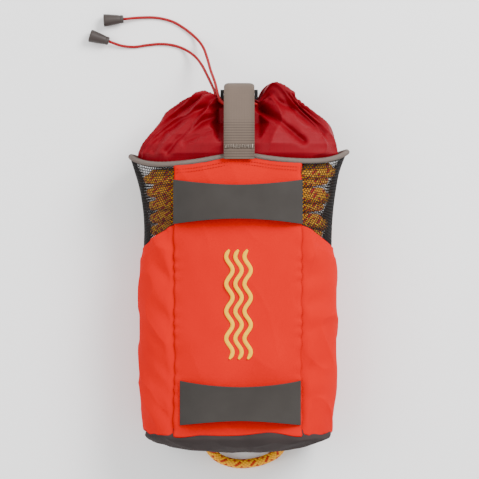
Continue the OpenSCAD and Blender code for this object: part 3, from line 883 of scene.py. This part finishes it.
# Deep folds in the collar's front, as (depth, half width) and points (x, y), in metres
COLLAR_FOLDS = [
    (.0060, .0032, [(.018, .132), (.030, .126), (.054, .106)]),
    (.0040, .0030, [(-.010, .138), (-.036, .131), (-.060, .114), (-.070, .098)]),
    (.0048, .0034, [(-.010, .128), (-.030, .122), (-.050, .106), (-.058, .097)]),
    (.0035, .0030, [(-.006, .119), (-.026, .113), (-.044, .105)]),
    (.0030, .0030, [(.026, .142), (.050, .132), (.070, .112)])]


def collar_row(t):
    """Ring sizes at t, from 0 at the rim to 1 at the mouth."""
    at = t * (len(COLLAR_RINGS) - 1)
    i = min(int(at), len(COLLAR_RINGS) - 2)
    return [lerp(a, b, at - i) for a, b in zip(COLLAR_RINGS[i], COLLAR_RINGS[i + 1])]


def pleat(angle, t):
    """Depth of the gathers, from -1 to 1: sharp crests that run to the mouth on a slant."""
    drift = 0.5 * math.sin(3 * angle + 1) + 0.35 * math.sin(7 * angle) + 0.8 * t
    broad = math.sin(8 * (angle + 0.25 * drift) + 2.4 * t)
    fine = math.sin(23 * (angle + 0.12 * drift) - 3 * t)
    wander = noise.noise(Vector((math.cos(angle) * 2.2, math.sin(angle) * 2.2, t * 2.5)))
    crest = 1 - 2 * abs(math.sin(7 * angle + 3 * wander + 1.8 * t)) ** 0.7
    return 0.3 * broad + 0.28 * fine * t + 0.6 * crest + 0.5 * wander


def distance_to_line(x, y, line):
    """Shortest way from a place to a line of points, seen from above."""
    place_2d = Vector((x, y))
    best = 1.0
    for a, b in zip(line, line[1:]):
        start, step = Vector(a), Vector(b) - Vector(a)
        share = max(0.0, min(1.0, (place_2d - start).dot(step) / step.length_squared))
        best = min(best, (place_2d - start - step * share).length)
    return best


def clear_of_lock(p):
    """Highest z the collar may reach, so that the cord lock and its button move freely."""
    away = max(0.0, abs(p.x - STRAP_X) - 17 * MM) + max(0.0, LOCK_LOW[1] - 6 * MM - p.y)
    return LOCK_LOW[2] - 1.6 * MM + 1.5 * away


def collar_point(angle, t):
    """Point of the collar's cloth at an angle, with t from 0 at the rim to 1 at the mouth."""
    y, a, low, high = collar_row(t)
    x, z = oval(angle, a, (high - low) / 2)
    depth = (0.8 + 4.2 * smooth(t * 1.6)) * MM * (1 - 0.5 * smooth((t - 0.8) / 0.2))
    under_strap = bell(x - STRAP_X, 17 * MM) if z > 0 else 0.0
    fold = pleat(angle, t) * depth * (1 - 0.7 * under_strap) * smooth(t * 8)
    out = Vector((x / a / a, 0, z / (high - low) ** 2 * 4)).normalized()
    p = Vector((x, y, (high + low) / 2 + z)) + out * fold

    # The cloth stands up in a hump on either side of the strap, higher on the right
    shoulder = smooth((t - 0.45) / 0.35) * (1 - smooth((t - 0.88) / 0.12))
    p.x += 4 * MM * smooth((t - 0.15) / 0.3) * (1 - smooth((t - 0.7) / 0.2))
    p.y += shoulder * (11 * MM * bell(x - 29 * MM, 13 * MM) + 2 * MM * bell(x + 27 * MM, 12 * MM))
    p.y += fold * 0.5 * smooth((t - 0.4) / 0.4)
    p.y -= shoulder * (9 * MM * bell(x - 16 * MM, 6 * MM) + 5 * MM * bell(x + 15 * MM, 5 * MM))
    if z > 0:
        for fold_depth, fold_w, line in COLLAR_FOLDS:
            p.z -= fold_depth * bell(distance_to_line(p.x, p.y, line), fold_w) * smooth(t * 5)
        beside = bell(abs(x - STRAP_X) - 32 * MM, 15 * MM)
        p.z += 9 * MM * beside * bell(t - 0.62, 0.22) + 2.5 * MM * beside * bell(t - 0.3, 0.2)
        p.z = min(p.z, clear_of_lock(p))
    sewn = wall(angle, rim_height(angle), -3 * MM, 2 * MM)
    return sewn.lerp(p, smooth(t / 0.14))


def make_collar(m):
    """Gathered collar, sewn in at the rim and drawn together at the mouth."""
    around, steps = 480, 150
    rows = [[collar_point(2 * math.pi * k / around, j / steps) for k in range(around)]
            for j in range(steps + 1)]
    piece = grid_mesh("collar_cloth", rows, closed=True)
    settle_cloth(piece, around, steps)
    add_modifier(piece, "SOLIDIFY", thickness=0.35 * MM, offset=0.0)
    place(piece, "bag", "collar_fabric", m["collar"], "collar")


def settle_cloth(piece, around, steps):
    """Lets the collar's cloth tighten for a few frames, held at its rim and mouth."""
    cap, frames = 3 * MM, 12
    start = [v.co.copy() for v in piece.data.vertices]
    group = piece.vertex_groups.new(name="held")
    held = [i for i in range(len(start)) if i < 3 * around or i >= (steps - 8) * around]
    group.add(held, 1.0, "REPLACE")
    cloth = piece.modifiers.new("cloth", "CLOTH")
    cloth.settings.quality = 4
    cloth.settings.mass = 0.1
    cloth.settings.tension_stiffness = 12
    cloth.settings.compression_stiffness = 12
    cloth.settings.bending_stiffness = 0.05
    cloth.settings.vertex_group_mass = "held"
    cloth.settings.effector_weights.gravity = 0.0
    cloth.settings.use_pressure = True
    cloth.settings.uniform_pressure_force = 0.4
    cloth.point_cache.frame_start = 1
    cloth.point_cache.frame_end = frames
    scene = bpy.context.scene
    for number in range(1, frames + 1):
        scene.frame_set(number)
    graph = bpy.context.evaluated_depsgraph_get()
    moved = [v.co.copy() for v in piece.evaluated_get(graph).data.vertices]
    piece.modifiers.remove(cloth)
    for vertex, a, b in zip(piece.data.vertices, start, moved):
        step = b - a
        if step.length > cap:
            step = step.normalized() * cap
        vertex.co = a + step
    scene.frame_set(1)


def make_hem(m):
    """Puckered hem round the collar's mouth."""
    path = []
    for k in range(280):
        a = 2 * math.pi * k / 280
        r = MOUTH_R + 1.3 * MM * math.sin(13 * a)
        path.append(MOUTH + Vector((r * math.cos(a), 1.6 * MM * math.cos(13 * a), r * math.sin(a))))
    rings = tube_rings(path, lambda a, j: 2.6 * MM * (1 + 0.12 * math.sin(0.9 * j)), 14, closed=True)
    place(ring_mesh("collar_hem_cloth", rings, closed=True), "bag", "collar_fabric", m["collar"],
          "collar_hem")


# ---------- Straps ----------

def strap_mesh(name, line):
    """Webbing along a side view, its cross ribs standing out a little."""
    path = curve_through([(STRAP_X, y, z) for y, z in line], 0.35 * MM)
    rings, reach = [], 0.0
    for j, p in enumerate(path):
        t = (path[min(j + 1, len(path) - 1)] - path[max(j - 1, 0)]).normalized()
        if j:
            reach += (p - path[j - 1]).length
        normal = Vector((1, 0, 0)).cross(t)
        ribbed = 1 - smooth((p.y - 122 * MM) / (8 * MM))
        half_t = STRAP_T / 2 * (1 - 0.22 * ribbed * (1 - abs(math.sin(math.pi * reach / RIB_PITCH))))
        ring = []
        for i in range(36):
            a = 2 * math.pi * i / 36
            c, s = math.cos(a), math.sin(a)
            x = math.copysign(abs(c) ** 0.3, c) * STRAP_W / 2
            corner = -1.8 * MM * abs(c) ** 3 * smooth((p.y - 147 * MM) / (6 * MM))
            ring.append(p + Vector((x, corner, 0)) + normal * math.copysign(abs(s) ** 0.6, s) * half_t)
        rings.append(ring)
    return ring_mesh(name, rings)


def make_straps(m):
    """Both straps and the bar tack that holds the front one."""
    front = strap_mesh("closure_strap_webbing", STRAP_LINE)
    dress(front, "webbing", m["webbing"], "closure_strap")
    rear = strap_mesh("rear_strap_webbing", REAR_STRAP_LINE)
    place(rear, "bag", "webbing", m["webbing"], "rear_strap")
    zigzag = []
    for k in range(44):
        x = STRAP_X + lerp(-11.2, 11.2, k / 43) * MM
        swing = (1.7 if k % 2 else -1.7) * random.uniform(0.6, 1.1) * MM
        zigzag.append(Vector((x, 101.2 * MM + swing, 90.9 * MM)))
    tubes = [tube_rings(zigzag, lambda a, j: 0.38 * MM, 6)]
    tack = join_tubes("strap_bar_tacks", tubes)
    dress(tack, "webbing", m["tack_thread"])
    for piece in (front, tack):
        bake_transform(piece)


# ---------- Hidden and moulded pieces keep their CAD shape ----------

def dress_cad_nodes(m):
    """Gives the pieces that keep their CAD shape a material."""
    kept = {
        "plastic": ["cord_lock_body", "cord_lock_plunger", "buckle_female", "buckle_male", "left_prong",
                    "right_prong", "base_grommets"],
        "rope": ["rope_base_knots", "rope_hand_loop"],
        "foam": ["foam_float"],
        "cord": ["hem_drawcord"],
        "spring": ["cord_lock_spring"],
    }
    for key, nodes in kept.items():
        for node in nodes:
            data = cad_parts[node].data
            data.materials.clear()
            data.materials.append(m[key])


def make_floor():
    """Plain white floor."""
    s = Shader("floor_paper", 0.9)
    s.color(s.mix(s.noise(3.0), linear(252, 252, 252), linear(248, 248, 248)))
    s.bump(s.noise(400.0), 0.02 * MM)
    half = 3.0
    corners = [Vector((x, y, 0)) for x, y in ((-half, -half), (half, -half), (half, half), (-half, half))]
    floor = add_mesh("floor", corners, [(0, 1, 2, 3)], [(0, 0), (1, 0), (1, 1), (0, 1)])
    floor.data.materials.append(s.material)


def make_world():
    """Even white light from all round."""
    world = bpy.data.worlds.new("studio")
    world.use_nodes = True
    world.node_tree.nodes["Background"].inputs["Color"].default_value = (1.0, 1.0, 1.0, 1.0)
    world.node_tree.nodes["Background"].inputs["Strength"].default_value = 1.1
    bpy.context.scene.world = world


def main():
    make_camera()
    m = make_materials()
    make_drawcord(m, "drawcord_upper", "upper_cord_end", UPPER_CORD_ROUTE, math.radians(184))
    make_drawcord(m, "drawcord_lower", "lower_cord_end", LOWER_CORD_ROUTE, math.radians(163))
    make_base_loop(m)
    make_floor()
    make_world()
    make_light("key", (1.0, 1.0, 1.3), 0.9, 52)
    make_light("fill", (-1.1, 0.2, 1.5), 1.2, 18)
    make_throw_rope(m)
    make_front_panel(m)
    make_back_panel(m)
    make_side_panel(m, LEFT, "left_side_panel")
    make_side_panel(m, RIGHT, "right_side_panel")
    make_mesh_window(m, LEFT, "left_mesh_window")
    make_mesh_window(m, RIGHT, "right_mesh_window")
    make_base(m)
    make_piping(m)
    make_stitching(m)
    make_band(m, "upper_grab_band", 28 * MM)
    make_band(m, "lower_grab_band", 28 * MM)
    make_waves(m)
    make_collar(m)
    make_hem(m)
    make_straps(m)
    dress_cad_nodes(m)


main()
